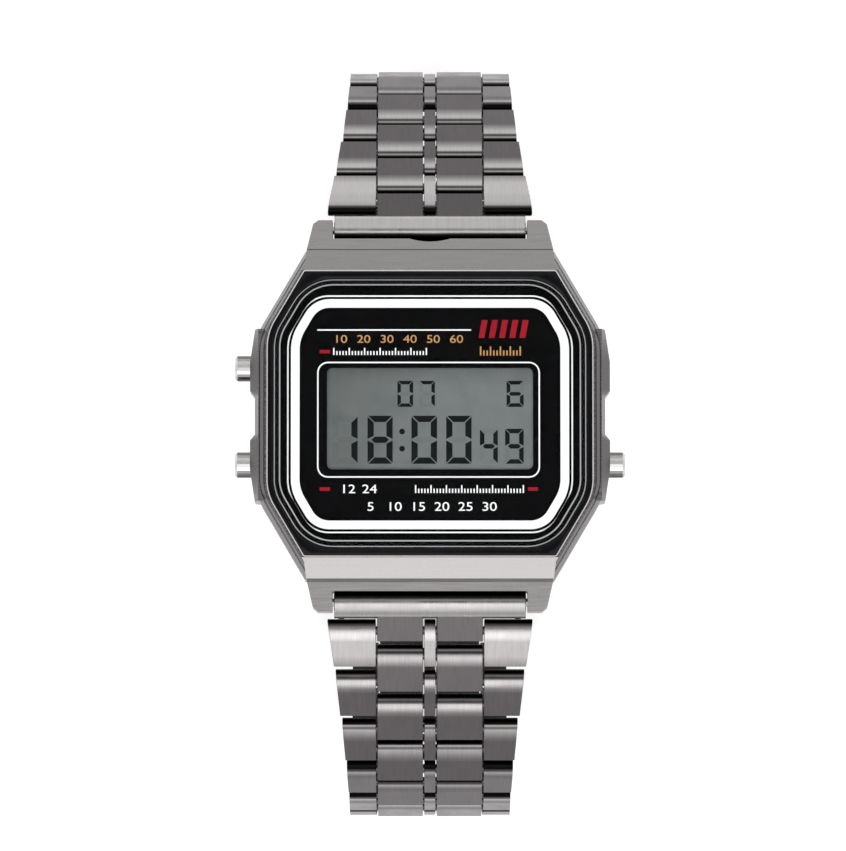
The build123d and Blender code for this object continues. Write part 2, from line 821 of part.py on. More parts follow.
def clasp_base():
    """Slider round the tail, with knuckles for the blade and ears for the lock plate."""
    shell = block(-slider_outer_x, slider_outer_x, slider_low_y, slider_high_y, slider_bottom, slider_top)
    shell -= block(-slider_half_width, slider_half_width, slider_low_y - slider_wall,
                   slider_high_y + slider_wall, slider_bottom + slider_wall, slider_top - slider_wall)
    knuckle = cross_rod(knuckle_radius, knuckle_inner_x, slider_outer_x, blade_hinge_y, blade_hinge_z,
                        collar_sides)
    knuckle += block(knuckle_inner_x, slider_outer_x, blade_hinge_y, slider_low_y + slider_wall,
                     slider_bottom, slider_bottom + slider_wall - knuckle_drop)
    knuckle -= cross_bore(clasp_pin_radius, 0, cover_outer_x, blade_hinge_y, blade_hinge_z)
    ear_x = lock_half_width + side_play
    ear = cross_rod(lock_hinge_radius, ear_x, ear_x + lock_ear_width, lock_hinge_y, lock_hinge_z,
                    collar_sides)
    ear += block(ear_x, ear_x + lock_ear_width, lock_hinge_y - lock_hinge_radius,
                 lock_hinge_y + lock_hinge_radius, slider_top, lock_hinge_z)
    shell += both_sides(knuckle) + both_sides(ear)
    shell += cross_rod(lock_pin_radius, -ear_x, ear_x, lock_hinge_y, lock_hinge_z)
    nib_y = lock_hinge_y - lock_length + nib_set_in
    slot_half = lock_half_width - side_play
    shell -= block(-slot_half, slot_half, nib_y - side_play, nib_y + nib_length + side_play,
                   slider_top - slider_wall, slider_top)
    return shell


def clasp_lock_plate():
    """Plate on the wrist side of the slider, whose nib drops between two rows of the tail."""
    low = slider_top + nib_clear
    far_y = lock_hinge_y - lock_length
    barrel = cross_cylinder(lock_hinge_radius - nib_clear, -lock_half_width, lock_half_width,
                            lock_hinge_y, lock_hinge_z)
    plate = barrel + block(-lock_half_width, lock_half_width, far_y, lock_hinge_y, low, low + lock_thickness)
    nib_y = far_y + nib_set_in
    nib_half = lock_half_width - 2 * side_play
    plate += block(-nib_half, nib_half, nib_y, nib_y + nib_length, slider_top - slider_wall, low)
    return plate - cross_bore(lock_pin_radius + nib_clear, -slider_outer_x, slider_outer_x,
                              lock_hinge_y, lock_hinge_z)


def clasp_blade():
    """Folding blade between the slider's knuckles and the cover's walls."""
    near_half = knuckle_inner_x - side_play
    wide_from = blade_hinge_y + slider_setback + knuckle_radius
    blade = block(-near_half, near_half, blade_hinge_y, wide_from + slider_wall, blade_base, blade_top)
    blade += cross_rod(knuckle_radius, -near_half, near_half, blade_hinge_y, blade_hinge_z, collar_sides)
    blade += block(-blade_half_width, blade_half_width, wide_from, cover_hinge_y, blade_base, blade_top)
    far_half = cover_inner_x - side_play
    blade += cross_rod(blade_barrel_radius, -far_half, far_half, cover_hinge_y, cover_hinge_z, collar_sides)
    blade -= cross_bore(clasp_pin_radius + pin_play, -far_half, far_half, blade_hinge_y, blade_hinge_z)
    return blade - cross_bore(clasp_pin_radius + pin_play, -cover_outer_x, cover_outer_x,
                              cover_hinge_y, cover_hinge_z)


def cover_wall_profile():
    """Side view of a wall of the cover: a low flange with a round eye at each end."""
    wall_top = cover_base + cover_wall_height
    low_y = hook_y + cover_end_set_in
    flange = Pos(low_y, cover_base) * Rectangle(cover_hinge_y - low_y, wall_top - cover_base,
                                                align=(Align.MIN, Align.MIN))
    eye = Pos(cover_hinge_y, cover_hinge_z) * RegularPolygon(ear_radius, collar_sides)
    hook = Pos(hook_y, hook_z) * RegularPolygon(ear_radius, collar_sides)
    neck = Polygon((hook_y - ear_radius, hook_z), (low_y, cover_base), (low_y + ear_radius, wall_top),
                   (hook_y, hook_z + ear_radius), align=None)
    hole = Pos(hook_y, hook_z) * RegularPolygon(pin_radius + pin_play, pin_sides, major_radius=False)
    return flange + eye + hook + neck - hole


def clasp_cover():
    """Outer cover: a flat panel with a wall along each side, hinged to the blade."""
    low_y = hook_y + cover_end_set_in
    high_y = cover_hinge_y - cover_hinge_set_in
    panel = block(-cover_outer_x, cover_outer_x, low_y, high_y, cover_base, cover_top)
    wall = Pos(cover_inner_x, 0, 0) * extrude(Plane.YZ * cover_wall_profile(), cover_wall)
    cover = panel + both_sides(wall)
    return cover - cross_bore(clasp_pin_radius, -cover_outer_x, cover_outer_x, cover_hinge_y, cover_hinge_z)


def hook_pin():
    """Pin at the far end of the lower strand, which the cover's ears close on."""
    pin_end = cover_inner_x - side_play
    return cross_rod(pin_radius, -pin_end, pin_end, row_pitch, 0)


# Pieces of the case

save("case_middle", case_middle())
save("bezel_frame", bezel_frame())
save("crystal", crystal())
save("accent_ring", accent_ring())
save("dial_mask", dial_mask())
save("lcd_panel", lcd_panel())
save("contact_strips", contact_strips())
save("module_frame", module_frame())
save("circuit_board", circuit_board())
save("led_lamp", led_lamp())
save("battery", battery())
save("battery_clip", battery_clip())
save("buzzer", buzzer())
save("back_gasket", back_gasket())
save("case_back", case_back())
save("back_screws", back_screws())

for name, (side, y) in button_places().items():
    save(name, button(side, y))
    save(name + "_spring", button_spring(side, y))
save("button_seals", button_seals())

# Pieces of the bracelet

strands = (("upper", 1, upper_pins, upper_slopes), ("lower", -1, lower_pins, lower_slopes))
for strand_name, side, pins, slopes in strands:
    place = strand_place(side * bar_y, bar_height, end_piece_slope, side)
    save(strand_name + "_end_piece", place * end_piece())
    save(strand_name + "_spring_bar", place * spring_bar())
    for index, ((y, z), slope) in enumerate(zip(pins, slopes)):
        place = strand_place(y, z, slope, side)
        row = bracelet_row(index)
        if pins is lower_pins and index == len(slopes) - 1:
            row.append(hook_pin())
        save(f"{strand_name}_row_{index + 1:02d}", group([place * piece for piece in row]))

tail_place = strand_place(tail_start_y, tail_z, tail_slope, 1)
save("upper_tail", tail_place * tail())

# Pieces of the clasp

save("clasp_base", clasp_base())
save("clasp_lock_plate", clasp_lock_plate())
save("clasp_blade", clasp_blade())
save("clasp_cover", clasp_cover())
blade_pin_end = slider_outer_x - fit_gap
save("blade_pin", cross_cylinder(clasp_pin_radius, -blade_pin_end, blade_pin_end,
                                 blade_hinge_y, blade_hinge_z))
cover_pin_end = cover_outer_x - fit_gap
save("cover_pin", cross_cylinder(clasp_pin_radius, -cover_pin_end, cover_pin_end,
                                 cover_hinge_y, cover_hinge_z))
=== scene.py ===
import json
import math
import bmesh
import bpy
from mathutils import Matrix, Vector


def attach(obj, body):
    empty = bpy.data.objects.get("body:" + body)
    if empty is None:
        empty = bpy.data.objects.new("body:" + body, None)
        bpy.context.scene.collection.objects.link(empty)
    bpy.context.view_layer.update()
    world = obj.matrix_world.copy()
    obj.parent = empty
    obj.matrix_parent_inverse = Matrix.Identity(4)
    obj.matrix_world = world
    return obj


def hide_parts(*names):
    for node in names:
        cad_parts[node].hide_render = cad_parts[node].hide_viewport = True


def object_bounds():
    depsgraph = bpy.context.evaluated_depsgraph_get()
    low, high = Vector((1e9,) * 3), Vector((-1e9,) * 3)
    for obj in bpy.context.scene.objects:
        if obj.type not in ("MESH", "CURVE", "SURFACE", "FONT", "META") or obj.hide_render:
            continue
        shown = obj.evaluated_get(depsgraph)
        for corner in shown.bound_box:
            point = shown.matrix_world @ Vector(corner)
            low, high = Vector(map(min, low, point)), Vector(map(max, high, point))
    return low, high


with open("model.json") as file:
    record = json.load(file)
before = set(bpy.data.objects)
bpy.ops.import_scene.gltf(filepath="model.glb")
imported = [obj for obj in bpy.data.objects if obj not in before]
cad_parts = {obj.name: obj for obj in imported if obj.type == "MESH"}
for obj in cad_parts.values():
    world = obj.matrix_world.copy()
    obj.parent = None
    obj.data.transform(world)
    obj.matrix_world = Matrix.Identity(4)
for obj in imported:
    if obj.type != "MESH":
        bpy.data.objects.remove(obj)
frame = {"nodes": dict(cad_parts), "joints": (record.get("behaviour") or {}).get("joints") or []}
cad_low, cad_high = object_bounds()

# Lengths are in millimetres unless a comment says otherwise, and MM turns them into metres
MM = 0.001
nodes = frame["nodes"]
joints = {joint["name"]: joint for joint in frame["joints"]}


# Nodes of materials

# Sockets of the Mix node for colours
MIX_FACTOR, MIX_FIRST, MIX_SECOND, MIX_RESULT = 0, 6, 7, 2

# The noise texture's values lie mostly between these two
NOISE_LOW, NOISE_HIGH = 0.3, 0.7
FINE_DETAIL, SOFT_DETAIL = 4.0, 3.0
FINE_ROUGHNESS, SOFT_ROUGHNESS = 0.6, 0.5


def new_material(name):
    """Node material with its tree and its Principled shader."""
    material = bpy.data.materials.new(name)
    material.use_nodes = True
    tree = material.node_tree
    return material, tree, tree.nodes["Principled BSDF"]


def feed(tree, socket, value):
    """Set a socket to a plain value, or link it to another node's socket."""
    if isinstance(value, bpy.types.NodeSocket):
        tree.links.new(value, socket)
    else:
        socket.default_value = (*value, 1) if isinstance(value, tuple) else value


def math_node(tree, operation, *values, clamp=False):
    node = tree.nodes.new("ShaderNodeMath")
    node.operation = operation
    node.use_clamp = clamp
    for socket, value in zip(node.inputs, values):
        feed(tree, socket, value)
    return node.outputs[0]


def mapped(tree, value, start, end, low=0.0, high=1.0):
    """Number that runs from low to high while the value runs from start to end."""
    node = tree.nodes.new("ShaderNodeMapRange")
    for name, number in (("From Min", start), ("From Max", end), ("To Min", low), ("To Max", high)):
        node.inputs[name].default_value = number
    tree.links.new(value, node.inputs["Value"])
    return node.outputs["Result"]


def mixed(tree, factor, first, second):
    """Colour between two colours, each given as a tuple or a socket."""
    node = tree.nodes.new("ShaderNodeMix")
    node.data_type = "RGBA"
    for place, value in ((MIX_FACTOR, factor), (MIX_FIRST, first), (MIX_SECOND, second)):
        feed(tree, node.inputs[place], value)
    return node.outputs[MIX_RESULT]


def axes_of(tree, vector):
    """Outputs X, Y and Z of a vector."""
    node = tree.nodes.new("ShaderNodeSeparateXYZ")
    tree.links.new(vector, node.inputs["Vector"])
    return node.outputs


def object_place(tree):
    return tree.nodes.new("ShaderNodeTexCoord").outputs["Object"]


def facing(tree, kind):
    """Direction that a face looks in: its Normal, or its flat True Normal."""
    return axes_of(tree, tree.nodes.new("ShaderNodeNewGeometry").outputs[kind])


def noise(tree, stretch, scale, detail, roughness):
    """Noise on the piece's own coordinates, with a factor on each axis."""
    mapping = tree.nodes.new("ShaderNodeMapping")
    mapping.inputs["Scale"].default_value = tuple(factor / MM for factor in stretch)
    tree.links.new(object_place(tree), mapping.inputs["Vector"])
    node = tree.nodes.new("ShaderNodeTexNoise")
    node.inputs["Scale"].default_value = scale
    node.inputs["Detail"].default_value = detail
    node.inputs["Roughness"].default_value = roughness
    tree.links.new(mapping.outputs["Vector"], node.inputs["Vector"])
    return node.outputs["Fac"]


def grain_of(tree, stretch, scale):
    return noise(tree, stretch, scale, FINE_DETAIL, FINE_ROUGHNESS)


def cloud_of(tree, factor):
    return noise(tree, (factor, factor, factor), 1.0, SOFT_DETAIL, SOFT_ROUGHNESS)


def ramp(tree, value, low, high):
    """Colour that runs between two colours with a noise."""
    node = tree.nodes.new("ShaderNodeValToRGB")
    for element, position, colour in zip(node.color_ramp.elements, (NOISE_LOW, NOISE_HIGH), (low, high)):
        element.position = position
        element.color = (*colour, 1)
    tree.links.new(value, node.inputs["Fac"])
    return node.outputs["Color"]


def spread(tree, value, low, high):
    """Number that runs between two numbers with a noise."""
    return mapped(tree, value, NOISE_LOW, NOISE_HIGH, low, high)


def bump(tree, shader, value, depth):
    node = tree.nodes.new("ShaderNodeBump")
    node.inputs["Strength"].default_value = 1.0
    node.inputs["Distance"].default_value = depth * MM
    tree.links.new(value, node.inputs["Height"])
    tree.links.new(node.outputs["Normal"], shader.inputs["Normal"])


# Finishes

GRAIN_SHARE, CLOUD_SHARE = 0.65, 0.35
CLOUD_SIZE, FINE_CLOUD_SIZE, FILM_SIZE = 0.25, 0.5, 0.3
BRUSH_DEPTH = 0.003
BRUSH_SCALE = 2.0
LINK_BRUSH, CASE_BRUSH, HEAD_BRUSH = (4.0, 0.25, 0.25), (0.12, 3.0, 3.0), (1.0, 6.0, 6.0)
PLATE_BRUSH = (0.15, 4.0, 4.0)

GUN = ((0.104, 0.096, 0.1), (0.122, 0.113, 0.117))
# Painted highlight on the links
LINK_PAINTED_HIGHLIGHT = ((0.49, 0.472, 0.472), (0.57, 0.552, 0.548))
# Painted highlight on the case's faces that look up
CASE_TOP_PAINTED_HIGHLIGHT = ((0.28, 0.268, 0.268), (0.325, 0.312, 0.31))
STEEL = ((0.5, 0.49, 0.485), (0.6, 0.59, 0.585))
# Painted dark reflection on the sides of the button heads
STEEL_PAINTED_DARK_SIDE = ((0.03, 0.029, 0.03), (0.05, 0.048, 0.05))
# Painted shade where the links meet and on the barrel's side toward the case
GAP_PAINTED_SHADE = (0.004, 0.004, 0.004)
# Painted shade for the fine lines along the case's flanks
FLANK_PAINTED_SHADE = (0.012, 0.011, 0.012)
BLACK = (0.0, 0.0, 0.0)

# Upward share of a face's direction, where the case goes over from its dark walls to its faces that look up,
# painted paler as a highlight
WALL_FACING, TOP_FACING = 0.76, 0.84

# Fine dark lines of painted shade along the flanks, above the case back: middle and half width
GROOVE_LINE = (6.16, 0.12)
RIM_FOOT_LINE = (6.84, 0.13)
FLANK_FACING = 0.25

# Sideways share of a face's direction, where a round button head goes over to its sides, painted dark as a
# reflection
HEAD_FACING, SIDE_FACING = 0.5, 0.85

# Shade that the plate throws on the display: axis, its dark end, its light end and its least light
DISPLAY_SHADE = (("X", -10.0, 1.0, 0.72), ("Y", 4.6, 2.6, 0.72))
DISPLAY_ROUGHNESS = (0.35, 0.5)
DISPLAY_GLOSS = 0.1

GLASS_IOR = 1.15


def surface(name, low, high, metallic, rough, stretch=(2, 2, 2), scale=1.0, depth=0.0, gloss=0.5):
    """Finish with a worn colour, an uneven gloss and a fine grain."""
    material, tree, shader = new_material(name)
    grain = grain_of(tree, stretch, scale)
    wear = math_node(tree, "MULTIPLY_ADD", cloud_of(tree, CLOUD_SIZE), CLOUD_SHARE,
                     math_node(tree, "MULTIPLY", grain, GRAIN_SHARE))
    tree.links.new(ramp(tree, wear, low, high), shader.inputs["Base Color"])
    tree.links.new(spread(tree, wear, *rough), shader.inputs["Roughness"])
    shader.inputs["Metallic"].default_value = metallic
    shader.inputs["Specular IOR Level"].default_value = gloss
    if depth > 0:
        bump(tree, shader, grain, depth)
    return material


def link_finish(name, rough):
    """Brushed metal with painted light: a painted highlight where a piece's value is above zero and painted
    shade where it is below zero.
    """
    material, tree, shader = new_material(name)
    grain = grain_of(tree, LINK_BRUSH, BRUSH_SCALE)
    # Painted highlight where the vertex value is above zero, painted shade where it is below
    attribute = tree.nodes.new("ShaderNodeAttribute")
    attribute.attribute_name = "polish"
    polish = attribute.outputs["Fac"]
    metal = mixed(tree, polish, ramp(tree, grain, *GUN), ramp(tree, grain, *LINK_PAINTED_HIGHLIGHT))
    painted_shade = math_node(tree, "MULTIPLY", polish, -1.0, clamp=True)
    tree.links.new(mixed(tree, painted_shade, metal, GAP_PAINTED_SHADE), shader.inputs["Base Color"])
    tree.links.new(spread(tree, cloud_of(tree, FINE_CLOUD_SIZE), *rough), shader.inputs["Roughness"])
    shader.inputs["Metallic"].default_value = 1.0
    bump(tree, shader, grain, BRUSH_DEPTH)
    return material


def case_finish(name, rough):
    """Brushed metal, painted paler as a highlight where it looks up and dark on the walls, with two fine
    lines of painted shade along the flanks.
    """
    material, tree, shader = new_material(name)
    grain = grain_of(tree, CASE_BRUSH, BRUSH_SCALE)
    face = facing(tree, "True Normal")
    # Faces that look up get the painted highlight colour
    upward = mapped(tree, face["Z"], WALL_FACING, TOP_FACING)
    metal = mixed(tree, upward, ramp(tree, grain, *GUN), ramp(tree, grain, *CASE_TOP_PAINTED_HIGHLIGHT))
    # Thin bands of painted shade at two heights on faces that look sideways
    height = axes_of(tree, object_place(tree))["Z"]
    groove, rim_foot = (math_node(tree, "COMPARE", height, middle * MM, half * MM)
                        for middle, half in (GROOVE_LINE, RIM_FOOT_LINE))
    flank = math_node(tree, "GREATER_THAN", math_node(tree, "ABSOLUTE", face["X"]), FLANK_FACING)
    line = math_node(tree, "MULTIPLY", math_node(tree, "ADD", groove, rim_foot), flank)
    tree.links.new(mixed(tree, line, metal, FLANK_PAINTED_SHADE), shader.inputs["Base Color"])
    tree.links.new(spread(tree, grain, *rough), shader.inputs["Roughness"])
    shader.inputs["Metallic"].default_value = 1.0
    bump(tree, shader, grain, BRUSH_DEPTH)
    return material


def button_finish(name, rough):
    """Polished steel, its round head's sides painted dark as a reflection."""
    material, tree, shader = new_material(name)
    grain = grain_of(tree, HEAD_BRUSH, 1.0)
    # Sides of the head painted dark as a reflection
    sideways = math_node(tree, "ABSOLUTE", facing(tree, "Normal")["Y"])
    side = mapped(tree, sideways, HEAD_FACING, SIDE_FACING)
    colour = mixed(tree, side, ramp(tree, grain, *STEEL), ramp(tree, grain, *STEEL_PAINTED_DARK_SIDE))
    tree.links.new(colour, shader.inputs["Base Color"])
    tree.links.new(spread(tree, grain, *rough), shader.inputs["Roughness"])
    shader.inputs["Metallic"].default_value = 1.0
    return material


def display_finish(name, low, high):
    """Grey display panel, a little darker where the plate shades it."""
    material, tree, shader = new_material(name)
    cloud = cloud_of(tree, FINE_CLOUD_SIZE)
    place = axes_of(tree, object_place(tree))
    light = [mapped(tree, place[axis], dark_end * MM, light_end * MM, least)
             for axis, dark_end, light_end, least in DISPLAY_SHADE]
    shade = math_node(tree, "MULTIPLY", *light)
    tree.links.new(mixed(tree, shade, BLACK, ramp(tree, cloud, low, high)), shader.inputs["Base Color"])
    tree.links.new(spread(tree, cloud, *DISPLAY_ROUGHNESS), shader.inputs["Roughness"])
    shader.inputs["Specular IOR Level"].default_value = DISPLAY_GLOSS
    return material


def glass(name, tint, film_tint, shadow):
    """Clear pane with a thin film, which lets light through to what lies under it."""
    material, tree, shader = new_material(name)
    shader.inputs["Transmission Weight"].default_value = 1.0
    shader.inputs["IOR"].default_value = GLASS_IOR
    shader.inputs["Roughness"].default_value = 0.0
    tree.links.new(ramp(tree, cloud_of(tree, FILM_SIZE), film_tint, tint), shader.inputs["Base Color"])
    clear = tree.nodes.new("ShaderNodeBsdfTransparent")
    clear.inputs["Color"].default_value = (shadow, shadow, shadow, 1)
    mix = tree.nodes.new("ShaderNodeMixShader")
    tree.links.new(tree.nodes.new("ShaderNodeLightPath").outputs["Is Shadow Ray"], mix.inputs["Fac"])
    tree.links.new(shader.outputs["BSDF"], mix.inputs[1])
    tree.links.new(clear.outputs["BSDF"], mix.inputs[2])
    tree.links.new(mix.outputs["Shader"], tree.nodes["Material Output"].inputs["Surface"])
    return material


case_metal = case_finish("gunmetal_case", (0.22, 0.34))
# Links: painted highlight and painted shade from each vertex's painted light value
link_metal = link_finish("gunmetal_links", (0.25, 0.36))
button_metal = button_finish("polished_steel", (0.1, 0.18))
lcd_face = display_finish("display_face", (0.15, 0.16, 0.161), (0.176, 0.187, 0.185))
segment_ghost = display_finish("segment_ghost", (0.137, 0.146, 0.147), (0.161, 0.171, 0.169))
crystal_glass = glass("crystal_glass", (0.97, 0.985, 0.98), (0.95, 0.965, 0.96), 0.92)

# Metals: colours, metallic, roughness, stretch and scale of the grain, its depth
# Painted shade for the strips along the upper and lower creases of the case
crease_shade = surface("crease_shade", (0.06, 0.057, 0.058), (0.085, 0.08, 0.082), 1.0, (0.3, 0.4),
                       CASE_BRUSH, BRUSH_SCALE, 0.001)
crease_band = surface("crease_band", (0.13, 0.125, 0.126), (0.17, 0.163, 0.165), 1.0, (0.3, 0.4),
                      CASE_BRUSH, BRUSH_SCALE, 0.001)
bare_steel = surface("brushed_steel", (0.33, 0.33, 0.33), (0.44, 0.44, 0.43), 1.0, (0.24, 0.38),
                     PLATE_BRUSH, BRUSH_SCALE, 0.004)
spring_steel = surface("spring_steel", (0.4, 0.4, 0.4), (0.5, 0.5, 0.49), 1.0, (0.2, 0.3),
                       scale=2.0, depth=0.002)
brass = surface("brass_disc", (0.5, 0.36, 0.14), (0.62, 0.46, 0.2), 1.0, (0.25, 0.4), depth=0.004)

# Paint, plastic, rubber and print
# Pale ring of painted highlight along the bezel's rim
rim_highlight_paint = surface("polished_rim", (0.5, 0.49, 0.49), (0.6, 0.59, 0.58), 0.0, (0.3, 0.4), depth=0.001)
# Pale painted highlight on the crystal's narrow edge facets
ground_glass = surface("ground_glass", (0.3, 0.31, 0.31), (0.38, 0.39, 0.39), 0.0, (0.4, 0.5), depth=0.001)
resin = surface("black_resin", (0.004, 0.0038, 0.0045), (0.008, 0.0075, 0.009), 0.0, (0.08, 0.16),
                (0.8, 0.8, 0.8), gloss=0.1)
mask_black = surface("mask_print", (0.002, 0.002, 0.0025), (0.004, 0.004, 0.0045), 0.0, (0.3, 0.42),
                     scale=2.0, gloss=0.02)
print_white = surface("white_print", (0.93, 0.93, 0.93), (0.98, 0.98, 0.98), 0.0, (0.35, 0.5),
                      scale=2.0, depth=0.001)
print_gold = surface("gold_print", (0.5, 0.25, 0.08), (0.62, 0.33, 0.11), 0.0, (0.35, 0.5),
                     scale=2.0, depth=0.001)
print_red = surface("red_print", (0.28, 0.006, 0.014), (0.36, 0.01, 0.02), 0.0, (0.35, 0.5),
                    scale=2.0, gloss=0.1)
segment_dark = surface("segment_dark", (0.005, 0.006, 0.007), (0.009, 0.01, 0.011), 0.0, (0.4, 0.5),
                       scale=2.0, gloss=0.05)
board_green = surface("circuit_board", (0.015, 0.09, 0.04), (0.03, 0.14, 0.07), 0.0, (0.4, 0.55), depth=0.01)
module_grey = surface("module_plastic", (0.09, 0.09, 0.1), (0.14, 0.14, 0.15), 0.0, (0.5, 0.65),
                      (3, 3, 3), depth=0.01)
rubber = surface("rubber_seal", (0.015, 0.015, 0.016), (0.03, 0.03, 0.03), 0.0, (0.6, 0.75),
                 (3, 3, 3), depth=0.01)
strip_rubber = surface("strip_rubber", (0.03, 0.03, 0.03), (0.4, 0.1, 0.08), 0.0, (0.5, 0.65),
                       (5, 0.1, 0.1), 2.0, 0.005)
amber = surface("amber_lamp", (0.65, 0.36, 0.08), (0.8, 0.5, 0.14), 0.0, (0.15, 0.25), depth=0.002)

# What isn't named here has the metal of the links
NODE_MATERIALS = {
    case_metal: ("case_middle",),
    resin: ("bezel_frame",),
    crystal_glass: ("crystal",),
    print_white: ("accent_ring",),
    mask_black: ("dial_mask",),
    lcd_face: ("lcd_panel",),
    strip_rubber: ("contact_strips",),
    module_grey: ("module_frame",),
    board_green: ("circuit_board",),
    amber: ("led_lamp",),
    brass: ("buzzer",),
    rubber: ("back_gasket", "button_seals"),
    button_metal: ("button_light", "button_mode", "button_start"),
    bare_steel: ("battery", "case_back", "clasp_lock_plate", "clasp_blade"),
    spring_steel: ("battery_clip", "back_screws", "button_light_spring", "button_mode_spring",
                   "button_start_spring", "upper_spring_bar", "lower_spring_bar", "blade_pin", "cover_pin"),
}
material_of = {name: material for material, names in NODE_MATERIALS.items() for name in names}

# Width of the rounded edges of CAD nodes
NODE_EDGES = {"bezel_frame": 0.05, "case_back": 0.08, "clasp_base": 0.08, "clasp_blade": 0.08,
              "clasp_cover": 0.12, "clasp_lock_plate": 0.06, "back_screws": 0.04}
NODE_EDGE_ANGLE, LINK_EDGE_ANGLE = 35, 40
EDGE_SEGMENTS = 2
WELD_DISTANCE = 0.001


def dress(obj, material):
    obj.data.materials.clear()
    obj.data.materials.append(material)


def round_edges(obj, width, angle):
    """Smooth piece with rounded edges, whose own vertices stay as they are."""
    weld = obj.modifiers.new("weld", "WELD")
    weld.merge_threshold = WELD_DISTANCE * MM
    edge = obj.modifiers.new("bevel", "BEVEL")
    edge.width = width * MM
    edge.segments = EDGE_SEGMENTS
    edge.limit_method = "ANGLE"
    edge.angle_limit = math.radians(angle)
    edge.harden_normals = True
    for polygon in obj.data.polygons:
        polygon.use_smooth = True


for name, node in nodes.items():
    dress(node, material_of.get(name, link_metal))
for name, width in NODE_EDGES.items():
    round_edges(nodes[name], width, NODE_EDGE_ANGLE)


# Meshes

ALONG_X = Matrix(((0, 0, 1, 0), (1, 0, 0, 0), (0, 1, 0, 0), (0, 0, 0, 1)))

# Bezel edge, from which every eight-sided plan is set in
BEZEL_HALF_WIDTH = 15.15
BEZEL_HALF_LENGTH = 13.33
BEZEL_DIAGONAL = 16.85
DIAGONAL_ANGLE = 30.5
SIDE_CORNERS = (0, 3, 4, 7)
CORNER_STEPS = 12


def mesh_object(name, mesh_builder, material, body):
    """New piece on a CAD body, built in millimetres, with a value of painted light at each vertex."""
    bm = bmesh.new()
    bm.verts.layers.float.new("polish")
    mesh_builder(bm)
    bmesh.ops.scale(bm, vec=(MM, MM, MM), verts=bm.verts)
    bmesh.ops.recalc_face_normals(bm, faces=bm.faces)
    mesh = bpy.data.meshes.new(name)
    bm.to_mesh(mesh)
    bm.free()
    obj = bpy.data.objects.new(name, mesh)
    bpy.context.scene.collection.objects.link(obj)
    mesh.materials.append(material)
    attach(obj, body)
    return obj


def join_rings(bm, first, second):
    """Faces between two rings of as many vertices each."""
    following = [*range(1, len(first)), 0]
    return [bm.faces.new((first[i], second[i], second[j], first[j])) for i, j in enumerate(following)]


def add_prism(bm, profile, x_low, x_high, place=Matrix.Identity(4), taper=None, polish=None):
    """Side view (y, z) made solid between two planes of X. taper gives the outer x at each y."""
    def side(x, other):
        tapered = taper and abs(x) > abs(other)
        return [bm.verts.new(place @ Vector((math.copysign(taper(y), x) if tapered else x, y, z)))
                for y, z in profile]

    low, high = side(x_low, x_high), side(x_high, x_low)
    if polish:
        layer = bm.verts.layers.float["polish"]
        for vertices in (low, high):
            for vertex, (y, z) in zip(vertices, profile):
                vertex[layer] = polish(y)
    bm.faces.new(low)
    bm.faces.new(reversed(high))
    join_rings(bm, low, high)


def flat_polygon(bm, plan, low, high):
    """Upright solid of a plan given as (x, y) points."""
    bottom, top = ([bm.verts.new((x, y, z)) for x, y in plan] for z in (low, high))
    bm.faces.new(list(reversed(bottom)))
    bm.faces.new(top)
    join_rings(bm, top, bottom)


def add_ring(bm, outer, inner, low, high, place=Matrix.Identity(4), polish=None):
    """Flat ring between two plans with as many points each."""
    out_low, out_high, in_low, in_high = ([bm.verts.new(place @ Vector((x, y, z))) for x, y in plan]
                                          for plan in (outer, inner) for z in (low, high))
    if polish:
        layer = bm.verts.layers.float["polish"]
        for ring in (out_low, out_high):
            for vertex, (x, y) in zip(ring, outer):
                vertex[layer] = polish(x)
    for first, second in ((in_high, out_high), (out_low, in_low), (out_high, out_low), (in_low, in_high)):
        join_rings(bm, first, second)


def eight_sided(side_inset, end_inset, diagonal_inset, side_radius, end_radius):
    """Plan set in from the bezel edge, with one radius where its sides start and one at its ends."""
    angle = math.radians(DIAGONAL_ANGLE)
    half_width, half_length = BEZEL_HALF_WIDTH - side_inset, BEZEL_HALF_LENGTH - end_inset
    reach = BEZEL_DIAGONAL - diagonal_inset
    side_y = (reach - half_width * math.cos(angle)) / math.sin(angle)
    end_x = (reach - half_length * math.sin(angle)) / math.cos(angle)
    upper = [(half_width, side_y), (end_x, half_length), (-end_x, half_length), (-half_width, side_y)]
    corners = [Vector(p) for p in upper + [(x, -y) for x, y in reversed(upper)]]
    points = []
    for i, corner in enumerate(corners):
        radius = side_radius if i in SIDE_CORNERS else end_radius
        before = (corners[i - 1] - corner).normalized()
        after = (corners[(i + 1) % len(corners)] - corner).normalized()
        half = before.angle(after) / 2
        centre = corner + (before + after).normalized() * radius / math.sin(half)
        start = corner + before * radius / math.tan(half) - centre
        end = corner + after * radius / math.tan(half) - centre
        turn = start.angle_signed(end)
        for step in range(CORNER_STEPS + 1):
            points.append(tuple(centre + Matrix.Rotation(-turn * step / CORNER_STEPS, 2) @ start))
    return points


def band_plans(insets, radii, width, radius_drop):
    """Outer and inner plan of an eight-sided band."""
    inner = [inset + width for inset in insets] + [radius - radius_drop for radius in radii]
    return eight_sided(*insets, *radii), eight_sided(*inner)


def circle_profile(radius, y, z, count):
    angles = [2 * math.pi * i / count for i in range(count)]
    return [(y + radius * math.cos(angle), z + radius * math.sin(angle)) for angle in angles]


def slot_profile(radius, stretch, count):
    """Round section drawn out along Y by a stretch."""
    return [(y + (stretch if y > 0 else 0.0), z) for y, z in circle_profile(radius, 0, 0, count)]


# Bracelet. A link's own Y runs down the strand from its first pin, and its Z faces outwards

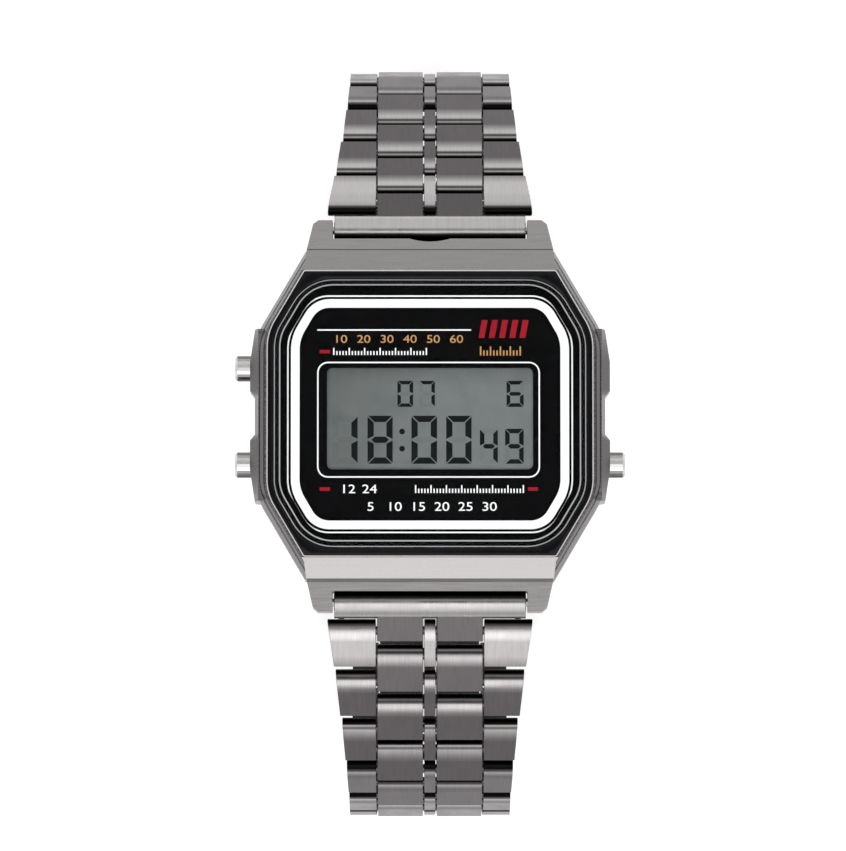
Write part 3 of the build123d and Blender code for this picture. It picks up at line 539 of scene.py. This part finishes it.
SLOPE_AT_CASE = 23.6
ROW_PITCH = 5.0
PIN_SPACING = 2.5
TAIL_ROWS = 6
ROW_WIDTHS = ((19.1, 17.8), (17.6, 16.7), (16.4, 15.8), (15.6, 15.3))
STRAP_WIDTH = 15.2
CENTRE_HALF = 0.525
WIDE_IN, WIDE_OUT = 0.655, 4.905
SIDE_IN = 5.035
PIN_RADIUS = 0.4
PIN_POINTS = 20
PIN_INSET = 0.35
TAPER_OVERRUN = 1.1
LINK_EDGE, END_EDGE = 0.06, 0.08

# Side view of a link: its round nose, the toe below it, its heel past the second pin, and marks on its top
HALF_THICK = 0.8
NOSE_TOP_Y, NOSE_RUN, NOSE_RISE = 0.755, 1.8, 0.9
NOSE_STEPS = 10
TOE = ((-0.98, -0.4), (-0.627, -HALF_THICK))
HEEL_LOW, HEEL_HIGH, HEEL_MARK = 0.726, 0.825, 0.1
TOP_MARKS = (2.3, 1.4, 0.95, NOSE_TOP_Y + 0.06)

# End piece at the case: a barrel round the spring bar, and two tongues
BARREL_RADIUS, BARREL_STRETCH = 1.05, 0.45
BARREL_BORE = 0.8
BARREL_HALF = 8.9
BARREL_POINTS = 48
TONGUE_START = 0.95
TONGUE_SPAN = 2.75

# Painted light at each place along a link: 1 is the palest painted highlight, 0 is plain gunmetal, below 0 is
# painted shade where the links meet
NOSE_PAINTED_LIGHT = ((-0.85, -1.0), (-0.70, 0.8), (-0.52, -0.5), (-0.30, 1.0), (-0.06, 1.0), (0.47, 0.35),
               (0.95, 0.0))
STEEP_PAINTED_LIGHT = ((-0.70, -1.0), (-0.52, -0.3), (-0.30, 1.0), (-0.06, 0.3), (0.2, 0.0))
FIRST_ROW_PAINTED_LIGHT = ((-0.85, -1.0), (-0.70, -0.3), (-0.52, 0.7), (-0.2, 0.88), (2.3, 0.85), (3.3, 0.3))
BARREL_PAINTED_LIGHT = ((-0.93, -1.0), (-0.75, -0.2), (-0.55, 0.8), (-0.3, 0.9), (1.1, 0.85), (1.4, 0.3))

# Share of that painted highlight on each row, on the first row's sides and on the barrel, more on the upper
# strand than on the lower. Rows from STEEP_ROW on take the marks of a steep row
ROW_SHARE = {"upper": (1.0, 0.95, 0.9, 0.75), "lower": (0.5, 0.5, 0.5, 0.6)}
FIRST_SHARE = {"upper": 1.0, "lower": 0.8}
BARREL_SHARE = {"upper": 1.0, "lower": 0.62}
STEEP_ROW = 3


def painted_light_curve(marks, share):
    """Painted light, highlight above zero and shade below, as a function of the place along a link."""
    def value(y):
        if y <= marks[0][0]:
            return marks[0][1]
        for (start, low), (end, high) in zip(marks, marks[1:]):
            if y <= end:
                level = low + (high - low) * (y - start) / (end - start)
                return level * share if level > 0 else level
        return marks[-1][1] * share
    return value


def heel(span):
    return [(span + HEEL_LOW, -HALF_THICK), (span + HEEL_HIGH, HALF_THICK)]


def link_profile(span):
    """Side view of a link over two pins, rounded at its nose and blunt at its far end."""
    angles = [math.pi / 2 * i / NOSE_STEPS for i in range(NOSE_STEPS + 1)]
    nose = [(NOSE_TOP_Y - NOSE_RUN * math.sin(angle), HALF_THICK - NOSE_RISE + NOSE_RISE * math.cos(angle))
            for angle in angles]
    top = [(y, HALF_THICK) for y in (span + HEEL_MARK, *TOP_MARKS)]
    return [*nose, *TOE, *heel(span), *top]


def strand_rows(strand):
    """(node, slope, place of its first pin) for each row of a strand, from the case."""
    slope = SLOPE_AT_CASE
    rows = []
    names = [n for n in joints if n.startswith(strand + "_row_")]
    names += [n for n in joints if n == strand + "_tail_hinge"]
    for name in names:
        slope += joints[name]["range_deg"][1]
        rows.append((name[:-len("_hinge")], slope, Vector(joints[name]["pos_m"]) / MM))
    return rows


def row_place(side, slope, first_pin):
    """Place of a row on the upper side, 1, or the lower side, -1, at its slope in degrees."""
    turn = math.radians(slope)
    x_axis = Vector((side, 0, 0))
    y_axis = Vector((0, side * math.cos(turn), -math.sin(turn)))
    z_axis = Vector((0, side * math.sin(turn), math.cos(turn)))
    return Matrix.Translation(first_pin) @ Matrix((x_axis, y_axis, z_axis)).transposed().to_4x4()


def add_row(bm, place, near_width, far_width, carrier_painted_light, wide_painted_light):
    """Side, centre and wide pieces of one row with its pins."""
    profile = link_profile(PIN_SPACING)
    run = PIN_SPACING + 2 * TAPER_OVERRUN

    def edge(y):
        return (near_width + (far_width - near_width) * (y + TAPER_OVERRUN) / run) / 2

    wide_place = place @ Matrix.Translation((0, PIN_SPACING, 0))
    for sign in (1, -1):
        add_prism(bm, profile, sign * SIDE_IN, sign * near_width / 2, place, edge, carrier_painted_light)
        add_prism(bm, profile, sign * WIDE_IN, sign * WIDE_OUT, wide_place, None, wide_painted_light)
    add_prism(bm, profile, -CENTRE_HALF, CENTRE_HALF, place, None, carrier_painted_light)
    pin_end = far_width / 2 - PIN_INSET
    for y in (0, PIN_SPACING):
        add_prism(bm, circle_profile(PIN_RADIUS, y, 0, PIN_POINTS), -pin_end, pin_end, place)


def build_links(strand, index, count, place):
    """Builder of the links on one node: count rows, from the index of the first one."""
    widths = ROW_WIDTHS[index] if index < len(ROW_WIDTHS) else (STRAP_WIDTH, STRAP_WIDTH)
    # Painted highlight and painted shade along this row's pieces
    marks = STEEP_PAINTED_LIGHT if index >= STEEP_ROW else NOSE_PAINTED_LIGHT
    wide = painted_light_curve(marks, ROW_SHARE[strand][min(index, STEEP_ROW)])
    carrier = wide if index else painted_light_curve(FIRST_ROW_PAINTED_LIGHT, FIRST_SHARE[strand])

    def build(bm):
        for step in range(count):
            add_row(bm, place @ Matrix.Translation((0, step * ROW_PITCH, 0)), *widths, carrier, wide)
    return build


def build_barrel(strand, place):
    def build(bm):
        add_ring(bm, slot_profile(BARREL_RADIUS, BARREL_STRETCH, BARREL_POINTS),
                 circle_profile(BARREL_BORE, 0, 0, BARREL_POINTS), -BARREL_HALF, BARREL_HALF, place @ ALONG_X,
                 painted_light_curve(BARREL_PAINTED_LIGHT, BARREL_SHARE[strand]))
    return build


def build_tongues(place):
    def build(bm):
        profile = [(TONGUE_START, HALF_THICK), (TONGUE_START, -HALF_THICK), *heel(TONGUE_SPAN)]
        polish = painted_light_curve(NOSE_PAINTED_LIGHT, 1.0)
        for sign in (1, -1):
            add_prism(bm, profile, sign * WIDE_IN, sign * WIDE_OUT, place, None, polish)
    return build


for strand, side in (("upper", 1), ("lower", -1)):
    for index, (node, slope, first_pin) in enumerate(strand_rows(strand)):
        count = TAIL_ROWS if node.endswith("tail") else 1
        builder = build_links(strand, index, count, row_place(side, slope, first_pin))
        links = mesh_object(node + "_links", builder, link_metal, node)
        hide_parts(node)
        round_edges(links, LINK_EDGE, LINK_EDGE_ANGLE)

    bar = Vector(joints[strand + "_strand_unroll"]["pos_m"]) / MM
    place = row_place(side, SLOPE_AT_CASE, bar)
    for name, builder in (("_barrel", build_barrel(strand, place)), ("_tongues", build_tongues(place))):
        piece = mesh_object(strand + name, builder, link_metal, strand + "_end")
        round_edges(piece, END_EDGE, LINK_EDGE_ANGLE)
        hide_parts(strand + "_end_piece")


# Crystal, bezel and case

SEAT_Z = 6.4
CRYSTAL_TOP = 8.2
CRYSTAL_BEVEL, CRYSTAL_BEVEL_HEIGHT = 0.55, 0.45
CRYSTAL_INSETS = (0.71, 0.92, 0.72)
CRYSTAL_RADIUS = 4.3
FACET_EDGE, FACET_RISE, FACET_RUN = 0.08, 0.064, 0.048
# Levels whose facets take the painted highlight
HIGHLIGHT_FACET_LEVELS = (1, 3)
GASKET_THICK, GASKET_PLAY = 0.06, 0.005
GASKET_OUTER, GASKET_INNER = 0.03, 1.15

BEZEL_TOP = 7.6
# Ring of painted highlight round the bezel's rim
RIM_INSETS, RIM_RADII = (0.02, 0.02, 0.02), (4.98, 0.3)
RIM_WIDTH = 0.1
RIM_SUNK, RIM_PROUD = 0.02, 0.01

# Crease where the band over each end of the case meets the slope of the lugs
CREASE_Y, CREASE_Z = 15.29, 6.8
CREASE_HALF = 11.4
BAND_TILT, LUG_TILT = 11.5, 30.0
CREASE_PROUD, CREASE_SUNK = 0.008, 0.05
UPPER_CREASE = (0.03, 0.05)
LOWER_CREASE = (0.02, 0.32)


def crystal_plan(inset):
    insets = [value + inset for value in CRYSTAL_INSETS]
    return eight_sided(*insets, CRYSTAL_RADIUS - inset, CRYSTAL_RADIUS - inset)


def build_crystal(bm):
    """Pane with a bevelled rim, its two edges cut to narrow facets that carry a painted highlight."""
    bevel_low = CRYSTAL_TOP - CRYSTAL_BEVEL_HEIGHT
    levels = ((0.0, SEAT_Z + GASKET_THICK), (0.0, bevel_low), (FACET_EDGE, bevel_low + FACET_RISE),
              (CRYSTAL_BEVEL - FACET_EDGE, CRYSTAL_TOP - FACET_RISE),
              (CRYSTAL_BEVEL + FACET_RUN, CRYSTAL_TOP))
    rings = [[bm.verts.new((x, y, z)) for x, y in crystal_plan(inset)] for inset, z in levels]
    bm.faces.new(rings[0])
    bm.faces.new(rings[-1])
    for level, (ring, above) in enumerate(zip(rings, rings[1:])):
        for face in join_rings(bm, above, ring):
            face.material_index = 1 if level in HIGHLIGHT_FACET_LEVELS else 0


# Thin pale ring of painted highlight round the bezel's rim
def rim_line(bm):
    outer, inner = band_plans(RIM_INSETS, RIM_RADII, RIM_WIDTH, RIM_WIDTH)
    add_ring(bm, outer, inner, BEZEL_TOP - RIM_SUNK, BEZEL_TOP + RIM_PROUD)


def crystal_gasket(bm):
    """Black band under the crystal's edge, over the seat and the rim of the dial plate."""
    add_ring(bm, crystal_plan(GASKET_OUTER), crystal_plan(GASKET_INNER), SEAT_Z + GASKET_PLAY,
             SEAT_Z + GASKET_THICK - GASKET_PLAY)


def build_crease(side, near, far):
    """Builder of a fine strip of painted shade along a crease, which runs up the band and down the lugs by
    two lengths.
    """
    rise = near * math.tan(math.radians(BAND_TILT))
    fall = far * math.tan(math.radians(LUG_TILT))
    line = ((CREASE_Y - near, CREASE_Z + rise), (CREASE_Y, CREASE_Z), (CREASE_Y + far, CREASE_Z - fall))
    top = [(side * y, z + CREASE_PROUD) for y, z in line]
    base = [(side * y, z - CREASE_SUNK) for y, z in reversed(line)]

    def build(bm):
        add_prism(bm, top + base, -CREASE_HALF, CREASE_HALF)
    return build


pane = mesh_object("crystal_pane", build_crystal, crystal_glass, "case")
pane.data.materials.append(ground_glass)
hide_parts("crystal")
mesh_object("bezel_rim_line", rim_line, rim_highlight_paint, "case")
mesh_object("crystal_gasket", crystal_gasket, mask_black, "case")
# Strips of painted shade along the creases at both ends of the case
mesh_object("upper_crease", build_crease(1, *UPPER_CREASE), crease_shade, "case")
mesh_object("lower_crease", build_crease(-1, *LOWER_CREASE), crease_band, "case")


# Printing on the dial plate

MASK_TOP = 6.3
PRINT_THICK = 0.02
PRINT_TOP = MASK_TOP + PRINT_THICK

# White ring and the thin line outside it
RING_INSETS, RING_RADII = (2.26, 2.63, 2.11), (4.2, 2.6)
RING_WIDTH = 0.8
LINE_INSETS, LINE_RADII = (1.90, 2.27, 1.75), (4.4, 2.8)
LINE_WIDTH, LINE_RADIUS_DROP = 0.14, 0.1

# Frame round the display: low x, high x, low y, high y
FRAME_BOX = (-10.46, 10.19, -5.91, 4.87)
FRAME_RADIUS = 1.0
FRAME_WIDTH = 0.13
FRAME_STEPS = 6

# Bars: low x, high x, low y, high y and a slant
HEAD_LINE = ((-10.46, 3.80, 7.77, 7.89, 0.0),)
CORNER_BARS = ((-10.23, -9.26, 5.65, 5.97, 0.0), (-10.23, -9.26, -7.13, -6.8, 0.0),
               (9.07, 10.0, -7.13, -6.8, 0.0))
SLANTED_BARS = tuple((4.5 + 0.95 * i, 5.05 + 0.95 * i, 7.09, 8.76, 0.3) for i in range(5))

# Scales: low x, high x, low y, high y, number of marks, width of one, and which marks are of full height
UPPER_SCALE = (-8.98, -0.28, 5.5, 6.16, 31, 0.12, 5)
LOWER_SCALE = (-1.39, 8.70, -7.33, -6.6, 36, 0.12, 5)
GOLD_SCALE = (4.63, 8.43, 5.45, 6.3, 13, 0.13, 3)
SHORT_MARK = 0.55

# Numbers: text, middle x, base y
GOLD_NUMBERS = [(str(10 * (i + 1)), -8.3 + 2.15 * i, 6.64) for i in range(6)]
MINUTE_NUMBERS = [(str(5 * (i + 1)), -5.5 + 2.2 * i, -8.98) for i in range(6)]
WHITE_NUMBERS = [("12", -7.6, -7.35), ("24", -5.6, -7.35)] + MINUTE_NUMBERS
GOLD_SIZE, WHITE_SIZE = 1.04, 1.16
NUMBER_STRETCH = 1.25


def printed_ring(bm):
    add_ring(bm, *band_plans(RING_INSETS, RING_RADII, RING_WIDTH, RING_WIDTH), MASK_TOP, SEAT_Z)


def rounded_box(inset):
    """Plan of the frame round the display, set in by an inset."""
    x_low, x_high, y_low, y_high = FRAME_BOX
    radius = FRAME_RADIUS - inset
    right, top = x_high - FRAME_RADIUS, y_high - FRAME_RADIUS
    left, bottom = x_low + FRAME_RADIUS, y_low + FRAME_RADIUS
    points = []
    for quarter, (x, y) in enumerate(((right, top), (left, top), (left, bottom), (right, bottom))):
        for step in range(FRAME_STEPS + 1):
            angle = math.pi / 2 * (quarter + step / FRAME_STEPS)
            points.append((x + radius * math.cos(angle), y + radius * math.sin(angle)))
    return points


def add_bars(bm, bars):
    for x_low, x_high, y_low, y_high, slant in bars:
        plan = [(x_low, y_low), (x_high, y_low), (x_high + slant, y_high), (x_low + slant, y_high)]
        flat_polygon(bm, plan, MASK_TOP, PRINT_TOP)


def scale_marks(x_low, x_high, y_low, y_high, count, width, long_every):
    """Bars of a scale, whose marks between the long ones are shorter."""
    marks = []
    for i in range(count):
        x = x_low + (x_high - x_low - width) * i / (count - 1)
        top = y_high if i % long_every == 0 else y_low + (y_high - y_low) * SHORT_MARK
        marks.append((x, x + width, y_low, top, 0.0))
    return marks


def white_prints(bm):
    add_ring(bm, rounded_box(0.0), rounded_box(FRAME_WIDTH), MASK_TOP, PRINT_TOP)
    add_ring(bm, *band_plans(LINE_INSETS, LINE_RADII, LINE_WIDTH, LINE_RADIUS_DROP), MASK_TOP, PRINT_TOP)
    add_bars(bm, HEAD_LINE)
    for scale in (UPPER_SCALE, LOWER_SCALE):
        add_bars(bm, scale_marks(*scale))


def gold_prints(bm):
    add_bars(bm, scale_marks(*GOLD_SCALE))


def red_prints(bm):
    add_bars(bm, SLANTED_BARS + CORNER_BARS)


def build_numbers(name, texts, size):
    """Builder of plain numbers, each given as (text, middle x, base y)."""
    def build(bm):
        for text, x, y in texts:
            curve = bpy.data.curves.new(name, "FONT")
            curve.body = text
            curve.size = size
            curve.align_x = "CENTER"
            curve.extrude = PRINT_THICK / 2
            text_object = bpy.data.objects.new(name, curve)
            bpy.context.scene.collection.objects.link(text_object)
            bpy.context.view_layer.update()
            depsgraph = bpy.context.evaluated_depsgraph_get()
            mesh = bpy.data.meshes.new_from_object(text_object.evaluated_get(depsgraph))
            mesh.transform(Matrix.Translation((x, y, MASK_TOP + PRINT_THICK / 2))
                           @ Matrix.Diagonal((NUMBER_STRETCH, 1, 1, 1)))
            bm.from_mesh(mesh)
            bpy.data.objects.remove(text_object)
            bpy.data.meshes.remove(mesh)
    return build


ring = mesh_object("printed_ring", printed_ring, print_white, "case")
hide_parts("accent_ring")
for name, builder, material in (
        ("white_prints", white_prints, print_white), ("gold_prints", gold_prints, print_gold),
        ("red_prints", red_prints, print_red),
        ("gold_numbers", build_numbers("gold_numbers", GOLD_NUMBERS, GOLD_SIZE), print_gold),
        ("white_numbers", build_numbers("white_numbers", WHITE_NUMBERS, WHITE_SIZE), print_white)):
    mesh_object(name, builder, material, "case")


# Display: seven-segment digits as thin sheets on the panel

SEGMENTS = {"0": "abcdef", "1": "bc", "4": "fgbc", "6": "afgedc", "7": "abc", "8": "abcdefg", "9": "abcdfg"}
LCD_TOP = 6.1
SEGMENT_GAP = 0.13

# Sizes of digits: width, height and stroke
BIG, BIG_ZERO, BIG_LAST = (2.33, 4.46, 0.58), (2.37, 4.46, 0.58), (2.35, 4.46, 0.58)
SECONDS_TENS, SECONDS = (1.66, 3.25, 0.42), (1.72, 3.25, 0.42)
DAY, SMALL = (1.58, 2.42, 0.34), (1.45, 2.42, 0.32)

# Digits: text, left x, base y and size
BIG_Y, SMALL_Y = -4.6, 0.69
DIGITS = (
    ("1", -9.04, BIG_Y, BIG), ("8", -5.79, BIG_Y, BIG),
    ("0", -1.72, BIG_Y, BIG_ZERO), ("0", 1.5, BIG_Y, BIG_LAST),
    ("4", 4.62, BIG_Y, SECONDS_TENS), ("9", 6.96, BIG_Y, SECONDS),
    ("6", 7.1, SMALL_Y, DAY), ("0", -3.02, SMALL_Y, SMALL), ("7", -1.0, SMALL_Y, SMALL),
)
COLON_X, COLON_YS = -2.59, (-3.2, -1.6)
COLON_RADIUS, COLON_POINTS = 0.27, 16


def segment_plan(letter, x, y, width, height, stroke):
    """Plan of one segment of a digit: a to f run clockwise from its top, and g is its middle."""
    half = stroke / 2
    gap = stroke * SEGMENT_GAP
    middle = y + height / 2
    if letter == "g":
        return [(x + half + gap, middle), (x + stroke + gap, middle + half),
                (x + width - stroke - gap, middle + half), (x + width - half - gap, middle),
                (x + width - stroke - gap, middle - half), (x + stroke + gap, middle - half)]
    if letter in "ad":
        edge, inward = (y + height, -stroke) if letter == "a" else (y, stroke)
        return [(x + gap, edge), (x + width - gap, edge), (x + width - stroke - gap, edge + inward),
                (x + stroke + gap, edge + inward)]
    edge, inward = (x, stroke) if letter in "ef" else (x + width, -stroke)
    sign = 1 if letter in "fb" else -1
    end = height / 2
    return [(edge, middle + sign * gap), (edge, middle + sign * (end - gap)),
            (edge + inward, middle + sign * (end - stroke - gap)),
            (edge + inward, middle + sign * (half + gap))]


def lit_digits(bm):
    for text, x, y, size in DIGITS:
        for letter in SEGMENTS[text]:
            flat_polygon(bm, segment_plan(letter, x, y, *size), LCD_TOP, LCD_TOP + PRINT_THICK)
    for y in COLON_YS:
        dot = circle_profile(COLON_RADIUS, COLON_X, y, COLON_POINTS)
        flat_polygon(bm, dot, LCD_TOP, LCD_TOP + PRINT_THICK)


def ghost_digits(bm):
    """Segments that aren't lit, which show faintly."""
    for text, x, y, size in DIGITS:
        for letter in sorted(set("abcdefg") - set(SEGMENTS[text])):
            flat_polygon(bm, segment_plan(letter, x, y, *size), LCD_TOP, LCD_TOP + PRINT_THICK / 2)


mesh_object("display_digits", lit_digits, segment_dark, "case")
mesh_object("display_ghosts", ghost_digits, segment_ghost, "case")


# Camera, light and floor

AIM = Vector((-0.65, -1.10, 7.0)) * MM
CAMERA_TILT = math.radians(4.8)

# In metres, but the lens
CAMERA_DISTANCE = 0.7
LENS = 319.8
CLIP_START = 0.01

# Soft box, in metres, and its brightness as seen in a mirror
BOX_PLACE = Vector((0.0, -0.197, 0.404))
BOX_WIDTH, BOX_LENGTH = 0.5, 0.285
BOX_RADIANCE = 1.65

# The sky's brightness, and the heights between which it goes over to the dark patch overhead
SKY_LIGHT, SKY_DARK = 0.95, 0.1
PATCH_START, PATCH_END = 0.93, 0.985

FLOOR_HALF = 3.0
FLOOR_GREY = 0.9
FLOOR_ROUGHNESS = 0.9
FLOOR_GLOW = 0.35

camera_data = bpy.data.cameras.new("camera")
camera = bpy.data.objects.new("camera", camera_data)
bpy.context.scene.collection.objects.link(camera)
camera.location = AIM + Vector((0, -math.sin(CAMERA_TILT), math.cos(CAMERA_TILT))) * CAMERA_DISTANCE
camera.rotation_euler = (CAMERA_TILT, 0, 0)
camera_data.lens = LENS
camera_data.clip_start = CLIP_START
bpy.context.scene.camera = camera

box_data = bpy.data.lights.new("lower_box", "AREA")
box_data.shape = "RECTANGLE"
box_data.size = BOX_WIDTH
box_data.size_y = BOX_LENGTH
box_data.energy = BOX_RADIANCE * math.pi * BOX_WIDTH * BOX_LENGTH
box = bpy.data.objects.new("lower_box", box_data)
bpy.context.scene.collection.objects.link(box)
box.location = BOX_PLACE
box.rotation_euler = BOX_PLACE.to_track_quat("Z", "Y").to_euler()
box.visible_camera = False

world = bpy.data.worlds.new("studio")
bpy.context.scene.world = world
world.use_nodes = True
sky = world.node_tree
upward = axes_of(sky, sky.nodes.new("ShaderNodeTexCoord").outputs["Generated"])["Z"]
sky.links.new(mapped(sky, upward, PATCH_START, PATCH_END, SKY_LIGHT, SKY_DARK),
              sky.nodes["Background"].inputs["Strength"])
sky.nodes["Background"].inputs["Color"].default_value = (1, 1, 1, 1)

floor_mesh = bpy.data.meshes.new("floor")
floor_corners = [(x * FLOOR_HALF, y * FLOOR_HALF, cad_low.z) for x, y in ((-1, -1), (1, -1), (1, 1), (-1, 1))]
floor_mesh.from_pydata(floor_corners, [], [(0, 1, 2, 3)])
floor = bpy.data.objects.new("floor", floor_mesh)
bpy.context.scene.collection.objects.link(floor)
floor_material, tree, shader = new_material("floor_paper")
shader.inputs["Base Color"].default_value = (FLOOR_GREY, FLOOR_GREY, FLOOR_GREY, 1)
shader.inputs["Roughness"].default_value = FLOOR_ROUGHNESS
shader.inputs["Specular IOR Level"].default_value = 0.0
shader.inputs["Emission Color"].default_value = (1, 1, 1, 1)
ray = tree.nodes.new("ShaderNodeLightPath").outputs
seen = math_node(tree, "MAXIMUM", ray["Is Camera Ray"], ray["Is Glossy Ray"])
seen = math_node(tree, "MAXIMUM", seen, ray["Is Transmission Ray"])
tree.links.new(math_node(tree, "MULTIPLY", seen, FLOOR_GLOW), shader.inputs["Emission Strength"])
dress(floor, floor_material)

bpy.context.scene.view_settings.view_transform = "Standard"
